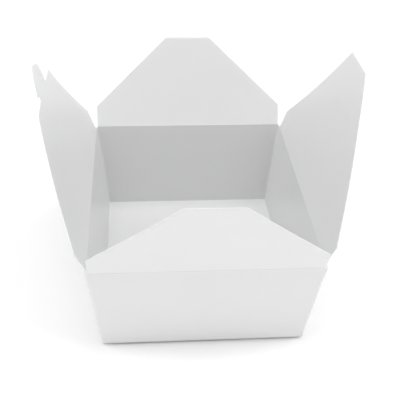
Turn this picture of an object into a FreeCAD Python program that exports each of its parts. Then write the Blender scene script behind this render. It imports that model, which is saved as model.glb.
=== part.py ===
import FreeCAD, Part
import math
import os

os.makedirs("parts", exist_ok=True)

V = FreeCAD.Vector

# ---------------------------------------------------------------- dimensions
# All lengths in mm, angles in degrees.  Origin: centre of the underside.
# +X is the right side, +Y the back, +Z up.

board = 0.45            # paperboard thickness (18 point)

bottom_w = 121.5        # underside, left to right, to the outer faces
bottom_d = 152.0        # underside, front to back
rim_w = 136.0           # rim, left to right, to the outer faces
rim_d = 169.0           # rim, front to back
rim_z = 63.5            # height of the four flap creases

corner_r = 1.3          # outer radius of the four upright folds
corner_r_in = 0.8       # inner radius of the same folds
foot_r = 0.85           # outer radius of the fold round the bottom panel
foot_r_in = 0.4         # inner radius of the same fold

crease_gap = 0.08       # play between a flap root and the wall under it
web_layers = 2          # board layers of each folded corner web
web_top_y = 38.5        # where the diagonal fold of a web meets the rim
web_drop = 1.0          # raw top edge of a web below the crease

# end flaps (front and back, the same shape)
end_half = 66.9         # half width at the crease
end_side = 15.0         # length of the short upright side
end_len = 64.3          # crease to top edge
end_top = 15.7          # half width of the top edge
end_bow = 0.5           # outward bow half way up
end_curl = 0.0001       # bow across the width, 1/mm
lean_front = 22.5       # outward from upright, as it stands open
lean_back = 29.0

# side flaps: the left one with the tongue, the right one longer
side_root = 80.6        # half width at the crease
side_curl = 0.0009      # bow across the width, 1/mm
left_half = 83.6        # half width at the top of the short side
left_side = 14.4        # length of the short side
left_len = 73.8
left_top = 31.8
left_bow = 1.9
lean_left = 19.3
right_half = 82.0
right_side = 13.0
right_len = 91.0
right_top = 15.6
right_bow = 2.0
lean_right = 17.2

# locking tongue on the left flap: (towards the front, from the crease)
tongue = [(-15.4, 73.8), (-14.2, 78.4), (-10.9, 85.6), (-8.6, 88.2),
          (-4.0, 90.3), (2.0, 92.2), (5.8, 93.1), (7.9, 92.9),
          (9.5, 91.6), (11.0, 89.0), (12.8, 84.9), (14.8, 81.2),
          (16.8, 78.4), (16.4, 77.7), (10.6, 77.2), (10.2, 76.6),
          (10.9, 73.8)]

# slit in the right flap that takes the tongue
slit_v = 61.6
slit_half = 17.0
slit_w = 0.5

flap_r = board / 2.0
wall_top = rim_z - flap_r - crease_gap
axis_x = rim_w / 2.0 - flap_r
axis_y = rim_d / 2.0 - flap_r


# ------------------------------------------------------------------- helpers
def round_rect(w, d, r, z):
    """Closed wire of a rounded rectangle centred on the Z axis."""
    x, y = w / 2.0, d / 2.0
    k = r * math.sqrt(0.5)
    edges = []
    corners = [(x - r, y - r, 0), (-x + r, y - r, 90),
               (-x + r, -y + r, 180), (x - r, -y + r, 270)]
    for i in range(4):
        cx, cy, a = corners[i]
        p = []
        for b in (0, 45, 90):
            t = math.radians(a + b)
            p.append(V(cx + r * math.cos(t), cy + r * math.sin(t), z))
        edges.append(Part.Arc(p[0], p[1], p[2]).toShape())
        nx, ny, na = corners[(i + 1) % 4]
        t = math.radians(na)
        edges.append(Part.LineSegment(
            p[2], V(nx + r * math.cos(t), ny + r * math.sin(t), z)).toShape())
    return Part.Wire(edges)


def frustum(inset_w, inset_d, r, z0, z1):
    """Tapered block of the tray between two heights, with the side faces and
    the end faces moved in by the two insets."""
    def at(z):
        k = z / rim_z
        w = bottom_w + (rim_w - bottom_w) * k - 2 * inset_w
        d = bottom_d + (rim_d - bottom_d) * k - 2 * inset_d
        return round_rect(w, d, r, z)
    return Part.makeLoft([at(z0), at(z1)], True, True)


def fillet_foot(solid, z, r):
    """Round every edge that lies in the plane z."""
    low = [e for e in solid.Edges
           if abs(e.BoundBox.ZMin - z) < 1e-4 and abs(e.BoundBox.ZMax - z) < 1e-4]
    return solid.makeFillet(r, low).Solids[0]


def prism(points, along):
    """Closed polygon pushed along a vector."""
    return Part.Face(Part.makePolygon(points + [points[0]])).extrude(along)


def poly_face(points):
    pts = [V(x, y, 0) for x, y in points]
    return Part.Face(Part.makePolygon(pts + [pts[0]]))


# ---------------------------------------------------------------------- tray
def make_tray():
    web = web_layers * board
    core = fillet_foot(frustum(0, 0, corner_r, 0, rim_z), 0, foot_r)
    wide = fillet_foot(frustum(-web, 0.03, corner_r, 0.02, rim_z), 0.02, foot_r)

    # the corner webs: the wide block less the part between the diagonal folds
    z0, z1 = -2.0, rim_z + 2.0
    y_foot = bottom_d / 2.0 - 1.2
    slope = (web_top_y - y_foot) / rim_z

    def y_at(z):
        return y_foot + slope * z

    def x_at(z):
        return bottom_w / 2.0 + (rim_w - bottom_w) / 2.0 * z / rim_z - 1.6

    for s in (-1, 1):
        side = prism([V(s * x_at(z0), -100, z0), V(s * x_at(z1), -100, z1),
                      V(s * 90, -100, z1), V(s * 90, -100, z0)], V(0, 200, 0))
        middle = prism([V(s * 20, -y_at(z0), z0), V(s * 20, y_at(z0), z0),
                        V(s * 20, y_at(z1), z1), V(s * 20, -y_at(z1), z1)],
                       V(s * 80, 0, 0))
        wide = wide.cut(side.common(middle))
    # raw top edge of the webs, a little under the side creases
    for s in (-1, 1):
        x = rim_w / 2.0 - (rim_w - bottom_w) / 2.0 * web_drop / rim_z
        b = Part.makeBox(10, rim_d - 2 * board, 6,
                         V(x if s > 0 else -x - 10, -rim_d / 2.0 + board,
                           rim_z - web_drop))
        wide = wide.cut(b)

    body = core.fuse(wide)
    wall = board * 1.007
    cavity = fillet_foot(frustum(wall, wall, corner_r_in, board, rim_z + 1.0),
                         board, foot_r_in)
    body = body.cut(cavity)
    top = Part.makeBox(300, 300, 20, V(-150, -150, wall_top))
    body = body.cut(top)
    return body.removeSplitter()


# --------------------------------------------------------------------- flaps
# Local frame of a flap: X along the crease, Y from the crease to the tip,
# Z outward.  The crease is the X axis.
def sheet(half, length, reach, bow, curl, top_half, root_half):
    """Gently bowed board of the given reach, to be cut to outline."""
    nx, ny = 15, 15
    grid = []
    for i in range(nx):
        s = -half + 2 * half * i / (nx - 1)
        row = []
        for j in range(ny):
            v = reach * j / (ny - 1)
            k = v / length
            e = root_half + (top_half - root_half) * k
            n = 4 * bow * k * (1 - k) + curl * k * (e * e - s * s)
            row.append(V(s, v, n - flap_r))
        grid.append(row)
    surf = Part.BSplineSurface()
    surf.interpolate(grid)
    return surf.toShape().extrude(V(0, 0, board))


def make_flap(outline, root, half, length, reach, bow, curl, top_half):
    body = sheet(half, length, reach, bow, curl, top_half, root)
    cutter = poly_face(outline).extrude(V(0, 0, 60))
    cutter.translate(V(0, 0, -30))
    body = body.common(cutter)
    if body.ShapeType != "Solid":
        body = body.Solids[0]
    bead = Part.makeCylinder(flap_r, 2 * root, V(-root, 0, 0), V(1, 0, 0))
    return body.fuse(bead)


def end_flap():
    out = [(-end_half, 0), (end_half, 0), (end_half, end_side),
           (end_top, end_len), (-end_top, end_len), (-end_half, end_side)]
    return make_flap(out, end_half, end_half + 4, end_len, end_len + 6,
                     end_bow, end_curl, end_top)


def left_flap():
    # +X of the local frame points to the front
    out = [(-side_root, 0), (side_root, 0), (left_half, left_side),
           (left_top, left_len)]
    out += list(reversed(tongue))
    out += [(-left_top, left_len), (-left_half, left_side)]
    return make_flap(out, side_root, left_half + 4, left_len, left_len + 22,
                     left_bow, side_curl, left_top)


def right_flap():
    out = [(-side_root, 0), (side_root, 0), (right_half, right_side),
           (right_top, right_len), (-right_top, right_len),
           (-right_half, right_side)]
    f = make_flap(out, side_root, right_half + 5.6, right_len, right_len + 6,
                  right_bow, side_curl * 0.6, right_top)
    slot = Part.makeBox(2 * slit_half, slit_w, 40,
                        V(-slit_half, slit_v - slit_w / 2.0, -20))
    for s in (-1, 1):
        slot = slot.fuse(Part.makeCylinder(slit_w / 2.0, 40,
                                           V(s * slit_half, slit_v, -20)))
    return f.cut(slot)


def stand(flap, side, lean):
    """Put a flap on its crease: side is the outward direction."""
    out = V(*side)
    up = V(0, 0, 1)
    a = math.radians(lean)
    y = up * math.cos(a) + out * math.sin(a)
    z = out * math.cos(a) - up * math.sin(a)
    x = y.cross(z)
    if side[0]:
        origin = V(side[0] * axis_x, 0, rim_z)
    else:
        origin = V(0, side[1] * axis_y, rim_z)
    m = FreeCAD.Matrix(x.x, y.x, z.x, origin.x,
                       x.y, y.y, z.y, origin.y,
                       x.z, y.z, z.z, origin.z,
                       0, 0, 0, 1)
    g = flap.copy()
    g.Placement = FreeCAD.Placement(m)
    return g, x


shapes = {}
shapes["tray"] = make_tray()
shapes["flap_front"], ax = stand(end_flap(), (0, -1, 0), lean_front)
shapes["flap_back"], ax = stand(end_flap(), (0, 1, 0), lean_back)
shapes["flap_left"], ax_l = stand(left_flap(), (-1, 0, 0), lean_left)
shapes["flap_right"], ax_r = stand(right_flap(), (1, 0, 0), lean_right)
print("left flap local X", ax_l, "right flap local X", ax_r)

for name in sorted(shapes):
    s = shapes[name]
    if s.ShapeType != "Solid" and len(s.Solids) == 1:
        s = s.Solids[0]
    bb = s.BoundBox
    print(name, s.ShapeType, "valid", s.isValid(), "solids", len(s.Solids),
          "faces", len(s.Faces), "volume %.1f" % s.Volume,
          "x %.2f %.2f y %.2f %.2f z %.2f %.2f" % (bb.XMin, bb.XMax, bb.YMin,
                                                  bb.YMax, bb.ZMin, bb.ZMax))
    s.exportStep("parts/" + name + ".step")
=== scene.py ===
import math

import bpy
import numpy as np
from mathutils import Matrix, Vector
from mathutils.geometry import delaunay_2d_cdt


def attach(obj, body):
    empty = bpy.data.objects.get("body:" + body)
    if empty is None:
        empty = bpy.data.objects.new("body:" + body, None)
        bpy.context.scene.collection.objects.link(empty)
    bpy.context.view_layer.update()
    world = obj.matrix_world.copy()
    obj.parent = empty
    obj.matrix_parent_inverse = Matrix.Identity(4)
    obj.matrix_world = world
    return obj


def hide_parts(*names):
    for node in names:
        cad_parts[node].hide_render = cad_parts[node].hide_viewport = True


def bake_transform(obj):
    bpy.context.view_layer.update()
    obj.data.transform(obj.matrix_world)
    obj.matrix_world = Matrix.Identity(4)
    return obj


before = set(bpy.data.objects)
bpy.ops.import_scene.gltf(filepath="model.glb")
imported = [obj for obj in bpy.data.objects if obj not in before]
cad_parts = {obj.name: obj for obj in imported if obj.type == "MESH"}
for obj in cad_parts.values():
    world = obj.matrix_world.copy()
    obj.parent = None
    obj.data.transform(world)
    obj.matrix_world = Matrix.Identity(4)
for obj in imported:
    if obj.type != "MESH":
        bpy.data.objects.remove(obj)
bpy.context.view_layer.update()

MM = 0.001

# ------------------------------------------------------------------ dimensions
# The same driving dimensions as the solids, in mm.
BOARD = 0.45
BOTTOM_W, BOTTOM_D = 121.5, 152.0
RIM_W, RIM_D, RIM_Z = 136.0, 169.0, 63.5
CORNER_R, CORNER_R_IN = 1.3, 0.8
FOOT_R, FOOT_R_IN = 0.85, 0.4
CREASE_GAP = 0.08
WEB = 2 * BOARD
WEB_TOP_Y = 38.5
WEB_DROP = 1.0
FLAP_R = BOARD / 2
WALL_TOP = RIM_Z - FLAP_R - CREASE_GAP
WALL = BOARD * 1.007
AXIS_X, AXIS_Y = RIM_W / 2 - FLAP_R, RIM_D / 2 - FLAP_R
ROOT_V = 1.0            # where the crease strip hands over to the flap

END = dict(root=66.9, half=66.9, side=15.0, length=64.3, top=15.7,
           bow=0.5, curl=0.0001)
LEFT = dict(root=80.6, half=83.6, side=14.4, length=73.8, top=31.8,
            bow=1.9, curl=0.0009)
RIGHT = dict(root=80.6, half=82.0, side=13.0, length=91.0, top=15.6,
             bow=2.0, curl=0.00054)
TONGUE = [(-15.4, 73.8), (-14.2, 78.4), (-10.9, 85.6), (-8.6, 88.2),
          (-4.0, 90.3), (2.0, 92.2), (5.8, 93.1), (7.9, 92.9),
          (9.5, 91.6), (11.0, 89.0), (12.8, 84.9), (14.8, 81.2),
          (16.8, 78.4), (16.4, 77.7), (10.6, 77.2), (10.2, 76.6),
          (10.9, 73.8)]
SLIT_V, SLIT_HALF, SLIT_W = 61.6, 17.0, 0.14   # a knife cut, drawn almost shut
LEAN = dict(front=22.5, back=29.0, left=19.3, right=17.2)


# ------------------------------------------------------------------- materials
def new_material(name):
    m = bpy.data.materials.new(name)
    m.use_nodes = True
    nt = m.node_tree
    nt.nodes.clear()
    out = nt.nodes.new("ShaderNodeOutputMaterial")
    bsdf = nt.nodes.new("ShaderNodeBsdfPrincipled")
    nt.links.new(bsdf.outputs["BSDF"], out.inputs["Surface"])
    return m, nt, bsdf


def node(nt, kind, **values):
    n = nt.nodes.new(kind)
    for k, v in values.items():
        if k in n.inputs:
            n.inputs[k].default_value = v
        else:
            setattr(n, k, v)
    return n


def noise(nt, coord, scale, detail=3.0, rough=0.55, stretch=None):
    src = coord.outputs["Object"]
    if stretch:
        mp = nt.nodes.new("ShaderNodeMapping")
        mp.inputs["Scale"].default_value = stretch
        nt.links.new(src, mp.inputs["Vector"])
        src = mp.outputs["Vector"]
    n = nt.nodes.new("ShaderNodeTexNoise")
    n.inputs["Scale"].default_value = scale
    n.inputs["Detail"].default_value = detail
    n.inputs["Roughness"].default_value = rough
    nt.links.new(src, n.inputs["Vector"])
    return n


def ramp(nt, fac, stops):
    r = nt.nodes.new("ShaderNodeValToRGB")
    r.color_ramp.elements[0].position = stops[0][0]
    r.color_ramp.elements[0].color = stops[0][1] + (1,)
    r.color_ramp.elements[1].position = stops[-1][0]
    r.color_ramp.elements[1].color = stops[-1][1] + (1,)
    for p, c in stops[1:-1]:
        e = r.color_ramp.elements.new(p)
        e.color = c + (1,)
    nt.links.new(fac, r.inputs["Fac"])
    return r


def span(nt, fac, lo, hi):
    r = nt.nodes.new("ShaderNodeMapRange")
    r.inputs["From Min"].default_value = 0.3
    r.inputs["From Max"].default_value = 0.7
    r.inputs["To Min"].default_value = lo
    r.inputs["To Max"].default_value = hi
    nt.links.new(fac, r.inputs["Value"])
    return r


def paperboard(name, white, rough, spec, fine, cloud, coat=0.0):
    """Clay-coated bleached board: cloudy formation, short fibres under the
    coating and a soft satin gloss."""
    m, nt, bsdf = new_material(name)
    co = nt.nodes.new("ShaderNodeTexCoord")
    formation = noise(nt, co, 55.0, 4.0, 0.6)
    fibre = noise(nt, co, 1500.0, 2.0, 0.6)
    mix = nt.nodes.new("ShaderNodeMath")
    mix.operation = "MULTIPLY_ADD"
    mix.inputs[1].default_value = 0.7
    nt.links.new(formation.outputs["Fac"], mix.inputs[0])
    part = nt.nodes.new("ShaderNodeMath")
    part.operation = "MULTIPLY"
    part.inputs[1].default_value = 0.3
    nt.links.new(fibre.outputs["Fac"], part.inputs[0])
    nt.links.new(part.outputs[0], mix.inputs[2])
    w = white
    lo = tuple(c * (1 - cloud) for c in w)
    hi = tuple(min(0.97, c * (1 + cloud)) for c in w)
    col = ramp(nt, mix.outputs[0], [(0.34, lo), (0.5, w), (0.66, hi)])
    nt.links.new(col.outputs["Color"], bsdf.inputs["Base Color"])
    rg = span(nt, formation.outputs["Fac"], rough - 0.035, rough + 0.035)
    nt.links.new(rg.outputs["Result"], bsdf.inputs["Roughness"])
    bsdf.inputs["Specular IOR Level"].default_value = spec
    if coat:
        bsdf.inputs["Coat Weight"].default_value = coat
        bsdf.inputs["Coat Roughness"].default_value = 0.12
    grain = noise(nt, co, 900.0, 3.0, 0.6)
    b1 = nt.nodes.new("ShaderNodeBump")
    b1.inputs["Strength"].default_value = fine
    b1.inputs["Distance"].default_value = 0.00001
    nt.links.new(grain.outputs["Fac"], b1.inputs["Height"])
    sway = noise(nt, co, 120.0, 2.0, 0.5)
    b2 = nt.nodes.new("ShaderNodeBump")
    b2.inputs["Strength"].default_value = 0.3
    b2.inputs["Distance"].default_value = 0.00004
    nt.links.new(sway.outputs["Fac"], b2.inputs["Height"])
    nt.links.new(b1.outputs["Normal"], b2.inputs["Normal"])
    nt.links.new(b2.outputs["Normal"], bsdf.inputs["Normal"])
    return m


def raw_edge(name):
    """Die-cut edge: the bare fibre core between the two coated faces."""
    m, nt, bsdf = new_material(name)
    co = nt.nodes.new("ShaderNodeTexCoord")
    n = noise(nt, co, 2600.0, 3.0, 0.7)
    col = ramp(nt, n.outputs["Fac"], [(0.3, (0.755, 0.753, 0.748)),
                                      (0.7, (0.835, 0.834, 0.830))])
    nt.links.new(col.outputs["Color"], bsdf.inputs["Base Color"])
    rg = span(nt, n.outputs["Fac"], 0.82, 0.95)
    nt.links.new(rg.outputs["Result"], bsdf.inputs["Roughness"])
    bsdf.inputs["Specular IOR Level"].default_value = 0.2
    b = nt.nodes.new("ShaderNodeBump")
    b.inputs["Strength"].default_value = 0.5
    b.inputs["Distance"].default_value = 0.00005
    nt.links.new(n.outputs["Fac"], b.inputs["Height"])
    nt.links.new(b.outputs["Normal"], bsdf.inputs["Normal"])
    return m


OUTER = paperboard("board_outside", (0.752, 0.752, 0.754), 0.42, 0.42, 0.5, 0.006)
INNER = paperboard("board_inside", (0.719, 0.720, 0.724), 0.32, 0.45, 0.35, 0.006,
                   coat=0.08)
EDGE = raw_edge("board_cut_edge")
# darker board along the score line: painted shade where the fold creases
SCORE_SHADE = paperboard("board_score_painted_shade", (0.718, 0.718, 0.719), 0.5, 0.35, 0.5, 0.006)
MATS = [OUTER, INNER, EDGE, SCORE_SHADE]


# --------------------------------------------------------------- mesh building
def add_mesh(name, verts, faces, mats, body=None, node_name=None, sharp=35.0):
    """verts in mm in the row frame; mats is one material index per face."""
    me = bpy.data.meshes.new(name)
    me.from_pydata([tuple(c * MM for c in v) for v in verts], [],
                   [tuple(int(i) for i in f) for f in faces])
    for m in MATS:
        me.materials.append(m)
    me.polygons.foreach_set("material_index", np.asarray(mats, np.int32))
    me.update()
    me.validate()
    me.shade_smooth()
    me.set_sharp_from_angle(angle=math.radians(sharp))
    ob = bpy.data.objects.new(name, me)
    bpy.context.scene.collection.objects.link(ob)
    if body:
        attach(ob, body)
    if node_name:
        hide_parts(node_name)
    return ob


# ------------------------------------------------------------------- the tray
N_A, N_B, N_C, N_D, N_E = 34, 8, 14, 6, 22


def web_y(z):
    y0 = BOTTOM_D / 2 - 1.2
    return y0 + (WEB_TOP_Y - y0) * z / RIM_Z


def ease(x):
    x = np.clip(x, 0, 1)
    return x * x * (3 - 2 * x)


def swell(x, y, z):
    """Slight outward bulge and unevenness of the walls, along X and Y."""
    h = math.sin(math.pi * min(max(z / RIM_Z, 0), 1)) ** 1.2 if 0 < z < RIM_Z else 0.0
    hx = BOTTOM_W / 2 + (RIM_W - BOTTOM_W) / 2 * z / RIM_Z
    hy = BOTTOM_D / 2 + (RIM_D - BOTTOM_D) / 2 * z / RIM_Z
    u, v = x / hx, y / hy
    dx = dy = 0.0
    if abs(v) >= 0.985 and abs(u) < 1:      # front and back walls
        k = (1 - u * u)
        k = k * k
        w = 0.10 * math.sin(0.071 * x + 0.6 + (1.1 if v > 0 else 0)) \
            * math.sin(0.09 * z + 0.4)
        dy = math.copysign((0.45 * k + w * k ** 0.5) * h, v)
    elif abs(u) >= 0.98:                    # side walls
        k = max(0.0, 1 - v * v)
        k = k * k
        w = 0.12 * math.sin(0.055 * y + 1.9 + (0.8 if u > 0 else 0)) \
            * math.sin(0.08 * z + 0.9)
        dx = math.copysign((0.7 * k + w * k ** 0.5) * h, u)
    return dx, dy


def foot_lift(x, y, z):
    """The blank rests on the middle of its bottom panel; the folded edges
    stand a little off the table and the walls carry that out by 18 mm up."""
    e = max(abs(x) / (BOTTOM_W / 2), abs(y) / (BOTTOM_D / 2))
    return 1.5 * float(ease((e - 0.70) / 0.30)) * (1 - float(ease(z / 18.0)))


def quadrant(X, Y, w, r, yd):
    """Front right quarter of a ring, from the middle of the front wall to the
    middle of the right wall.  Returns points and the section of each."""
    pts, sec = [], []
    xe = X + w - r
    for i in range(N_A):
        t = i / N_A
        t = t + 0.10 * math.sin(math.pi * t) * t    # a little denser outward
        pts.append((xe * min(t, 1), -Y)); sec.append(0)
    for i in range(N_B):
        a = math.radians(-90 + 90 * i / N_B)
        pts.append((xe + r * math.cos(a), -Y + r + r * math.sin(a))); sec.append(1)
    y0, y1 = -Y + r, -yd
    for i in range(N_C):
        t = i / N_C
        pts.append((X + w, y0 + (y1 - y0) * t)); sec.append(1)
    for i in range(N_D):
        a = math.radians(90 * i / N_D)
        pts.append((X + w * math.cos(a), y1 + 0.45 * math.sin(a))); sec.append(1)
    y2 = y1 + 0.45
    for i in range(N_E):
        t = i / N_E
        pts.append((X, y2 * (1 - t))); sec.append(2)
    return pts, sec


def full_ring(X, Y, w, r, yd):
    q, s = quadrant(X, Y, w, r, yd)
    ring, sec = list(q), list(s)
    mid_r = [(X, 0.0)]
    ring += mid_r; sec += [2]
    ring += [(x, -y) for x, y in reversed(q)]; sec += list(reversed(s))
    # the back middle is q[0] mirrored; go on round the left side
    ring += [(-x, -y) for x, y in q[1:]]; sec += s[1:]
    ring += [(-X, 0.0)]; sec += [2]
    ring += [(-x, y) for x, y in reversed(q[1:])]; sec += list(reversed(s[1:]))
    return ring, sec


def half_w(z):
    return BOTTOM_W / 2 + (RIM_W - BOTTOM_W) / 2 * z / RIM_Z


def half_d(z):
    return BOTTOM_D / 2 + (RIM_D - BOTTOM_D) / 2 * z / RIM_Z


def corner(z, r):
    """The upright folds are softer halfway up than at the foot and the rim."""
    return r + 0.8 * float(ease(z / 12.0)) * (1 - float(ease((z - 50.0) / 11.0)))


def build_tray():
    rings = []          # (list of (x, y, z), material of the band after it)

    def put(z, inset, w, r, mat, web_z=None, scale=None, dome=0.0):
        X, Y = half_w(z) - inset, half_d(z) - inset
        yd = min(web_y(max(z, 0)), Y - r - 0.4)
        if scale is not None:
            sx, sy = scale, 1 - (1 - scale) * X / Y
            ring, sec = full_ring(X, Y, w, r, yd)
            pts = []
            for x, y in ring:
                px, py = x * sx, y * sy
                e = (1 - (px / X) ** 2) * (1 - (py / Y) ** 2)
                pts.append((px, py, z + dome * max(e, 0) ** 0.7 + foot_lift(px, py, z)))
        else:
            ring, sec = full_ring(X, Y, w, r, yd)
            pts = []
            for (x, y), s in zip(ring, sec):
                dx, dy = swell(x, y, z)
                zz = web_z if (web_z is not None and s == 1) else z
                pts.append((x + dx, y + dy, zz + foot_lift(x, y, z)))
        rings.append((pts, mat))

    # underside, from the middle out
    W0 = WEB
    for s in (0.03, 0.15, 0.3, 0.45, 0.6, 0.75, 0.86, 0.94, 0.985):
        put(0.0, FOOT_R, W0, CORNER_R, 0, scale=s, dome=0.18)
    # fold round the foot
    for i in range(0, 9):
        a = math.radians(83.5 * i / 8)
        inset = FOOT_R * (1 - math.sin(a)) - FOOT_R * (1 - math.sin(math.radians(83.5)))
        z = FOOT_R * (1 - math.cos(a))
        put(z, max(inset, 0) if i else FOOT_R, W0, CORNER_R, 0)
    # outside of the walls
    zs = np.concatenate([np.linspace(1.6, 60.6, 40), [61.4, 61.9, 62.2, 62.38]])
    for z in zs:
        put(float(z), 0, W0, corner(z, CORNER_R), 0)
    # raw top edge of the corner webs, two layers with a hairline between
    wz = RIM_Z - WEB_DROP
    z = 62.45
    put(z, 0, W0, CORNER_R, 2, web_z=wz - 0.05)
    for k, (w, dz) in enumerate([(WEB - 0.05, 0), (WEB / 2 + 0.03, 0), (WEB / 2, -0.14),
                                 (WEB / 2 - 0.03, 0), (0.04, 0), (0.0, -0.12)]):
        z += 0.05
        put(z, 0, w, CORNER_R, 2, web_z=wz + dz)
    z += 0.08
    put(z, 0, 0, CORNER_R, 0, web_z=wz + 0.06)
    for zz in (62.95, 63.05, WALL_TOP - 0.05):
        put(zz, 0, 0, CORNER_R, 0)
    put(WALL_TOP, 0.003, 0, CORNER_R, 2)
    put(WALL_TOP, WALL - 0.003, 0, CORNER_R_IN, 2)
    put(WALL_TOP - 0.05, WALL, 0, CORNER_R_IN, 1)
    # inside of the walls
    for zz in np.concatenate([[62.6, 61.5], np.linspace(60.0, 2.2, 40), [1.5, 1.1]]):
        put(float(zz), WALL, 0, corner(zz, CORNER_R_IN), 1)
    for i in range(1, 6):
        a = math.radians(83.5 * (1 - i / 5))
        inset = FOOT_R_IN * (1 - math.sin(a))
        z = BOARD + FOOT_R_IN * (1 - math.cos(a))
        put(z, WALL + inset, 0, CORNER_R_IN, 1)
    for s in (0.985, 0.94, 0.86, 0.75, 0.6, 0.45, 0.3, 0.15, 0.03):
        put(BOARD, WALL + FOOT_R_IN, 0, CORNER_R_IN, 1, scale=s, dome=0.18)

    n = len(rings[0][0])
    verts = []
    for pts, _ in rings:
        verts += pts
    faces, mats = [], []
    for k in range(len(rings) - 1):
        a, b = k * n, (k + 1) * n
        for i in range(n):
            j = (i + 1) % n
            faces.append((a + i, a + j, b + j, b + i)); mats.append(rings[k][1])
    first = len(verts)
    verts.append((0, 0, rings[0][0][0][2]))
    for i in range(n):
        faces.append((first, (i + 1) % n, i)); mats.append(0)
    last = len(verts)
    verts.append((0, 0, rings[-1][0][0][2]))
    a = (len(rings) - 1) * n
    for i in range(n):
        faces.append((last, a + i, a + (i + 1) % n)); mats.append(1)
    return add_mesh("tray_board", verts, faces, mats, "tray", "tray", sharp=40.0)


# ------------------------------------------------------------------- the flaps
def surface(f, s, v, seed):
    """Height of the middle of a flap's board over its flat chord."""
    k = v / f["length"]
    e = f["root"] + (f["top"] - f["root"]) * k
    n = 4 * f["bow"] * k * (1 - k) + f["curl"] * k * (e * e - s * s)
    fade = ease((v - 2.0) / 22.0)
    n = n + fade * 0.16 * np.sin(0.052 * s + 0.031 * v + seed) \
        * np.sin(0.061 * v + 1.7 * seed + 0.4)
    return n


def surface_frame(f, s, v, seed):
    h = 0.05
    n = surface(f, s, v, seed)
    ds = (surface(f, s + h, v, seed) - surface(f, s - h, v, seed)) / (2 * h)
    dv = (surface(f, s, v + h, seed) - surface(f, s, v - h, seed)) / (2 * h)
    norm = np.stack([-ds, -dv, np.ones_like(ds)], -1)
    norm /= np.linalg.norm(norm, axis=-1, keepdims=True)
    return np.stack([s, v, n], -1), norm


def placing(side, lean):
    """Matrix columns of a flap: X along the crease, Y up the flap, Z outward."""
    out = np.array([side[0], side[1], 0.0])
    up = np.array([0, 0, 1.0])
    a = math.radians(lean)
    y = up * math.cos(a) + out * math.sin(a)
    z = out * math.cos(a) - up * math.sin(a)
    x = np.cross(y, z)
    o = np.array([side[0] * AXIS_X, side[1] * AXIS_Y, RIM_Z])
    return np.stack([x, y, z], 1), o


def rounded(poly, radii):
    """Polygon with its corners rounded by the given radii."""
    out = []
    n = len(poly)
    for i in range(n):
        p = np.array(poly[i], float)
        r = radii[i]
        if r <= 0:
            out.append(tuple(p))
            continue
        a, b = np.array(poly[i - 1], float), np.array(poly[(i + 1) % n], float)
        u, w = a - p, b - p
        lu, lw = np.linalg.norm(u), np.linalg.norm(w)
        u, w = u / lu, w / lw
        ang = math.acos(max(-1, min(1, float(u @ w))))
        t = min(r / math.tan(ang / 2), 0.45 * lu, 0.45 * lw)
        r = t * math.tan(ang / 2)
        c = p + (u + w) / np.linalg.norm(u + w) * (r / math.sin(ang / 2))
        p0, p1 = p + u * t, p + w * t
        a0 = math.atan2(*(p0 - c)[::-1]); a1 = math.atan2(*(p1 - c)[::-1])
        d = (a1 - a0 + math.pi) % (2 * math.pi) - math.pi
        m = max(2, int(abs(d) / 0.35) + 1)
        for k in range(m + 1):
            q = a0 + d * k / m
            out.append((c[0] + r * math.cos(q), c[1] + r * math.sin(q)))
    return out


def resample(poly, step):
    out = []
    n = len(poly)
    for i in range(n):
        p, q = np.array(poly[i]), np.array(poly[(i + 1) % n])
        d = np.linalg.norm(q - p)
        if d < 1e-6:
            continue
        m = max(1, int(math.ceil(d / step)))
        for k in range(m):
            out.append(p + (q - p) * k / m)
    return np.array(out)


def inside(poly, pts):
    x, y = pts[:, 0], pts[:, 1]
    r = np.zeros(len(pts), bool)
    n = len(poly)
    for i in range(n):
        x0, y0 = poly[i]
        x1, y1 = poly[(i + 1) % n]
        c = (y0 > y) != (y1 > y)
        with np.errstate(divide="ignore", invalid="ignore"):
            xx = (x1 - x0) * (y - y0) / (y1 - y0) + x0
        r ^= c & (x < xx)
    return r


def distance(poly, pts):
    best = np.full(len(pts), 1e9)
    n = len(poly)
    for i in range(n):
        p, q = poly[i], poly[(i + 1) % n]
        d = q - p
        t = np.clip(((pts - p) @ d) / (d @ d), 0, 1)
        best = np.minimum(best, np.linalg.norm(pts - (p + t[:, None] * d), axis=1))
    return best


def inset_loop(loop, e, keep_v):
    """Loop moved inwards by e; points on the root edge only move along it."""
    n = len(loop)
    area = 0.5 * np.sum(loop[:, 0] * np.roll(loop[:, 1], -1)
                        - np.roll(loop[:, 0], -1) * loop[:, 1])
    sign = 1.0 if area > 0 else -1.0
    out = loop.copy()
    for i in range(n):
        a, b = loop[i] - loop[i - 1], loop[(i + 1) % n] - loop[i]
        a, b = a / np.linalg.norm(a), b / np.linalg.norm(b)
        na, nb = sign * np.array([-a[1], a[0]]), sign * np.array([-b[1], b[0]])
        m = na + nb
        m = m / max(1e-6, np.linalg.norm(m))
        k = max(0.5, float(m @ na))
        step = m * e / k
        if keep_v is not None and abs(loop[i][1] - keep_v) < 1e-6:
            prev_root = abs(loop[i - 1][1] - keep_v) < 1e-6
            next_root = abs(loop[(i + 1) % n][1] - keep_v) < 1e-6
            if prev_root and next_root:
                step = np.zeros(2)
            else:
                other = nb if prev_root else na
                step = np.array([other[0] * e, 0.0])
        out[i] = loop[i] + step
    return out


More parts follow.
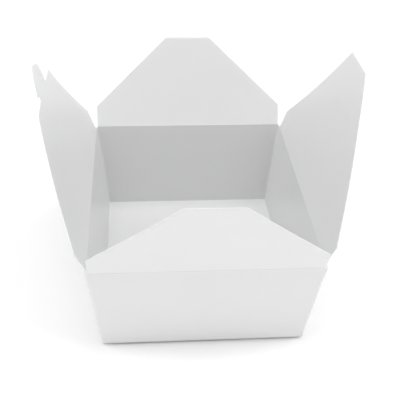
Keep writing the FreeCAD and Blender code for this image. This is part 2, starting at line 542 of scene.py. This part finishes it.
def build_flap(name, body, f, outline, radii, side, lean, seed, hole=None):
    R, o = placing(side, lean)
    step = 1.1
    loop = resample(rounded(outline, radii), step)
    bev = 0.07
    inner = inset_loop(loop, bev, ROOT_V)
    loops = [inner]
    fulls = [loop]
    if hole is not None:
        h = resample(hole, 0.9)
        fulls.append(h)
        loops.append(inset_loop(h, -0.04, None))
    # interior points on a staggered grid
    lo, hi = loop.min(0), loop.max(0)
    g = 2.3
    pts = []
    row = 0
    v = lo[1] + g * 0.6
    while v < hi[1]:
        s = lo[0] + (g / 2 if row % 2 else 0)
        while s < hi[0]:
            pts.append((s, v))
            s += g
        v += g * 0.87
        row += 1
    pts = np.array(pts)
    pts = pts[inside(inner, pts)]
    pts = pts[distance(inner, pts) > 1.0]
    for h in loops[1:]:
        pts = pts[~inside(h, pts)]
        pts = pts[distance(h, pts) > 0.8]
    allp, edges = [], []
    starts = []
    for L in loops:
        st = len(allp)
        starts.append(st)
        allp += [tuple(p) for p in L]
        edges += [(st + i, st + (i + 1) % len(L)) for i in range(len(L))]
    allp += [tuple(p) for p in pts]
    vs, es, fs, ov, oe, of = delaunay_2d_cdt([Vector(p) for p in allp], edges, [],
                                             0, 1e-7)
    vs = np.array([(p.x, p.y) for p in vs])
    where = {}
    for i, src in enumerate(ov):
        for k in src:
            where[k] = i
    tri = np.array([tuple(t) for t in fs if len(t) == 3])
    cen = vs[tri].mean(1)
    ok = inside(inner, cen)
    for h in loops[1:]:
        ok &= ~inside(h, cen)
    tri = tri[ok]
    # counter-clockwise seen from outside (local +Z)
    a = vs[tri[:, 1]] - vs[tri[:, 0]]
    b = vs[tri[:, 2]] - vs[tri[:, 0]]
    flip = (a[:, 0] * b[:, 1] - a[:, 1] * b[:, 0]) < 0
    tri[flip] = tri[flip][:, ::-1]
    nv = len(vs)
    mid, nor = surface_frame(f, vs[:, 0], vs[:, 1], seed)
    top = mid + nor * FLAP_R
    bot = mid - nor * FLAP_R
    verts = [top, bot]
    faces = [tuple(t) for t in tri] + [tuple(t[::-1] + nv) for t in tri]
    mats = [0] * len(tri) + [1] * len(tri)
    base = 2 * nv
    for L, F, st in zip(loops, fulls, starts):
        m, nr = surface_frame(f, F[:, 0], F[:, 1], seed)
        r1 = m + nr * (FLAP_R - 0.05)
        r2 = m - nr * (FLAP_R - 0.05)
        verts += [r1, r2]
        k = len(F)
        area = 0.5 * np.sum(F[:, 0] * np.roll(F[:, 1], -1)
                            - np.roll(F[:, 0], -1) * F[:, 1])
        for i in range(k):
            j = (i + 1) % k
            ti, tj = where[st + i], where[st + j]
            a1, a2, b1, b2 = base + i, base + j, base + k + i, base + k + j
            quads = [(ti, a1, a2, tj), (a1, b1, b2, a2), (b1, ti + nv, tj + nv, b2)]
            outward = area > 0
            if L is not loops[0]:
                outward = not outward
            for qd in quads:
                faces.append(qd if outward else qd[::-1])
                mats.append(2)
        base += 2 * k
    verts = np.concatenate(verts)
    world = verts @ R.T + o
    return add_mesh(name, world, faces, mats, body, body, sharp=40.0)


def build_strip(name, f, side, lean, seed, end_half):
    """The scored fold between a wall and its flap, one bar of board curved from the wall top into
    the flap root.
    """
    R, o = placing(side, lean)
    out = np.array([side[0], side[1], 0.0])
    up = np.array([0, 0, 1.0])
    along = R[:, 0]
    slope = ((RIM_W - BOTTOM_W) if side[0] else (RIM_D - BOTTOM_D)) / 2 / RIM_Z
    wall_n = out - up * slope
    wall_n /= np.linalg.norm(wall_n)
    wall_u = up + out * slope
    wall_u /= np.linalg.norm(wall_u)
    half_top = half_w(WALL_TOP) if side[0] else half_d(WALL_TOP)
    root = f["root"]
    n_s = 90
    rows = []
    ss = np.linspace(-1, 1, n_s + 1)

    def flap_row(v):
        s = ss * end_half(v)
        m, nr = surface_frame(f, s, np.full_like(s, v), seed)
        return (m + nr * FLAP_R) @ R.T + o, (m - nr * FLAP_R) @ R.T + o

    s0 = ss * root
    base = np.outer(s0, along)
    z1 = WALL_TOP
    outer = base + out * half_top + up * z1
    inner = base + out * (half_top - WALL) + up * z1
    rows.append((outer, inner))
    # three rows through the score line: a shallow groove outside, a bead inside
    for d, g, b in ((-0.2, 0.995, 1.03), (-0.08, 0.96, 1.14), (0.0, 0.90, 1.2)):
        k = (d + 0.305) / 0.305
        fn = R @ np.array([0, 0, 1.0])
        nn = wall_n * (1 - 0.5 * k) + fn * 0.5 * k
        nn /= np.linalg.norm(nn)
        p = base + o[None, :] * np.array([1, 1, 1]) + wall_u * d
        rows.append((p + nn * FLAP_R * g, p - nn * FLAP_R * b))
    for v, g, b in ((0.08, 0.90, 1.16), (0.2, 0.93, 1.05), (0.4, 0.97, 1), (0.7, 1, 1),
                    (ROOT_V, 1, 1)):
        a, c = flap_row(v)
        m = (a + c) / 2
        rows.append((m + (a - m) * g, m + (c - m) * b))
    k = len(rows)
    n = n_s + 1
    verts, faces, mats = [], [], []
    for a, c in rows:
        verts.append(a)
    for a, c in rows:
        verts.append(c)
    verts = np.concatenate(verts)
    O = lambda r, i: r * n + i
    I = lambda r, i: (k + r) * n + i
    for r in range(k - 1):
        for i in range(n_s):
            faces.append((O(r, i), O(r, i + 1), O(r + 1, i + 1), O(r + 1, i)))
            # outer face of the crease strip up to row 7 takes the darker score board: painted
            # shade along the fold
            mats.append(3 if r < 7 else 0)
            faces.append((I(r, i + 1), I(r, i), I(r + 1, i), I(r + 1, i + 1))); mats.append(1)
        faces.append((I(r, 0), O(r, 0), O(r + 1, 0), I(r + 1, 0))); mats.append(2)
        faces.append((O(r, n_s), I(r, n_s), I(r + 1, n_s), O(r + 1, n_s))); mats.append(2)
    for i in range(n_s):
        faces.append((O(0, i + 1), O(0, i), I(0, i), I(0, i + 1))); mats.append(2)
        faces.append((O(k - 1, i), O(k - 1, i + 1), I(k - 1, i + 1), I(k - 1, i))); mats.append(2)
    ob = add_mesh(name, verts, faces, mats, sharp=60.0)
    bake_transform(ob)
    return ob


def end_outline():
    f = END
    o = [(-f["half"], ROOT_V), (f["half"], ROOT_V), (f["half"], f["side"]),
         (f["top"], f["length"]), (-f["top"], f["length"]), (-f["half"], f["side"])]
    return o, [0, 0, 1.2, 1.2, 1.2, 1.2]


def side_root(f, v):
    return f["root"] + (f["half"] - f["root"]) * v / f["side"]


def left_outline():
    f = LEFT
    e = side_root(f, ROOT_V)
    o = [(-e, ROOT_V), (e, ROOT_V), (f["half"], f["side"]), (f["top"], f["length"])]
    r = [0, 0, 1.2, 1.2]
    for p in reversed(TONGUE):
        o.append(p)
        r.append(0.5)
    o += [(-f["top"], f["length"]), (-f["half"], f["side"])]
    r += [1.2, 1.2]
    return o, r


def right_outline():
    f = RIGHT
    e = side_root(f, ROOT_V)
    o = [(-e, ROOT_V), (e, ROOT_V), (f["half"], f["side"]), (f["top"], f["length"]),
         (-f["top"], f["length"]), (-f["half"], f["side"])]
    return o, [0, 0, 1.2, 1.2, 1.2, 1.2]


def slit_outline():
    pts = []
    for s in (1, -1):
        for i in range(5):
            a = math.radians(-90 + 180 * i / 4)
            pts.append((s * (SLIT_HALF + SLIT_W / 2 * math.cos(a)),
                        SLIT_V + s * SLIT_W / 2 * math.sin(a)))
    return pts


build_tray()
o, r = end_outline()
build_flap("front_flap_board", "flap_front", END, o, r, (0, -1), LEAN["front"], 0.3)
build_flap("back_flap_board", "flap_back", END, o, r, (0, 1), LEAN["back"], 1.4)
o, r = left_outline()
build_flap("left_flap_board", "flap_left", LEFT, o, r, (-1, 0), LEAN["left"], 2.2)
o, r = right_outline()
build_flap("right_flap_board", "flap_right", RIGHT, o, r, (1, 0), LEAN["right"], 3.1,
           hole=slit_outline())
flat = lambda v: END["root"]
build_strip("front_crease", END, (0, -1), LEAN["front"], 0.3, flat)
build_strip("back_crease", END, (0, 1), LEAN["back"], 1.4, flat)
build_strip("left_crease", LEFT, (-1, 0), LEAN["left"], 2.2,
            lambda v: side_root(LEFT, v))
build_strip("right_crease", RIGHT, (1, 0), LEAN["right"], 3.1,
            lambda v: side_root(RIGHT, v))

# ---------------------------------------------------------------------- camera
CAM = dict(f=763.9, az=-5.39, el=34.14, roll=1.86, dist=517.4,
           target=(3.58, 13.0, 45.0))


def place_camera(c):
    a, e, r = (math.radians(c[k]) for k in ("az", "el", "roll"))
    back = Vector((math.sin(a) * math.cos(e), -math.cos(a) * math.cos(e), math.sin(e)))
    fwd = -back
    right = fwd.cross(Vector((0, 0, 1))).normalized()
    up = right.cross(fwd)
    r2 = right * math.cos(r) + up * math.sin(r)
    u2 = up * math.cos(r) - right * math.sin(r)
    data = bpy.data.cameras.new("camera")
    data.sensor_width = 36.0
    data.lens = c["f"] / 400 * 36
    data.clip_start, data.clip_end = 0.01, 50
    cam = bpy.data.objects.new("camera", data)
    bpy.context.scene.collection.objects.link(cam)
    loc = Vector(c["target"]) + back * c["dist"]
    m = Matrix(((r2.x, u2.x, back.x, loc.x * MM), (r2.y, u2.y, back.y, loc.y * MM),
                (r2.z, u2.z, back.z, loc.z * MM), (0, 0, 0, 1)))
    cam.matrix_world = m
    bpy.context.scene.camera = cam


place_camera(CAM)

# ----------------------------------------------------------------------- stage
me = bpy.data.meshes.new("floor")
n, size = 96, 6.0
vs = [(0, 0, 0)] + [(size * math.cos(2 * math.pi * i / n), size * math.sin(2 * math.pi * i / n), 0)
                    for i in range(n)]
me.from_pydata(vs, [], [(0, 1 + i, 1 + (i + 1) % n) for i in range(n)])
floor = bpy.data.objects.new("floor", me)
bpy.context.scene.collection.objects.link(floor)
fm, fnt, fb = new_material("floor_white")
fco = fnt.nodes.new("ShaderNodeTexCoord")
fno = noise(fnt, fco, 3.0, 2.0)
fcol = ramp(fnt, fno.outputs["Fac"], [(0.3, (0.96, 0.96, 0.96)), (0.7, (0.975, 0.975, 0.975))])
fnt.links.new(fcol.outputs["Color"], fb.inputs["Base Color"])
fb.inputs["Roughness"].default_value = 0.9
fb.inputs["Specular IOR Level"].default_value = 0.1
me.materials.append(fm)

# ---------------------------------------------------------------------- lights
world = bpy.data.worlds.new("world")
bpy.context.scene.world = world
world.use_nodes = True
wnt = world.node_tree
bg = wnt.nodes["Background"]
wco = wnt.nodes.new("ShaderNodeTexCoord")
wsep = wnt.nodes.new("ShaderNodeSeparateXYZ")
wnt.links.new(wco.outputs["Generated"], wsep.inputs["Vector"])
wr = ramp(wnt, wsep.outputs["Z"], [(0.0, (1.0,) * 3), (0.02, (1.0,) * 3),
                                   (0.07, (0.88,) * 3), (0.24, (0.88,) * 3),
                                   (0.50, (0.03,) * 3), (1.0, (0.03,) * 3)])
wr.color_ramp.interpolation = "EASE"
wnt.links.new(wr.outputs["Color"], bg.inputs["Color"])
bg.inputs["Strength"].default_value = 1.0


def soft_light(name, direction, strength, spread=40.0):
    """A distant soft box: direction points from the object to the light."""
    d = bpy.data.lights.new(name, "SUN")
    d.angle = math.radians(spread)
    d.energy = strength
    ob = bpy.data.objects.new(name, d)
    bpy.context.scene.collection.objects.link(ob)
    ob.location = Vector(direction) * 1.5
    ob.rotation_mode = "QUATERNION"
    ob.rotation_quaternion = (-Vector(direction)).to_track_quat("-Z", "Y")
    return ob


soft_light("top_light", (0, 0, 1), 1.15)
soft_light("key_light", (0, -0.80, 0.60), 0.30)
soft_light("front_high_light", (0, -0.53, 0.85), 0.12)
soft_light("left_low_light", (-0.87, -0.06, 0.49), 0.30)
soft_light("right_low_light", (0.94, -0.06, 0.33), 0.30)
soft_light("left_high_light", (-0.61, -0.06, 0.79), 1.0)
soft_light("right_high_light", (0.61, -0.06, 0.79), 1.2)

scene = bpy.context.scene
scene.view_settings.view_transform = "Standard"
scene.view_settings.look = "None"
scene.view_settings.exposure = 0.0
scene.view_settings.gamma = 1.0
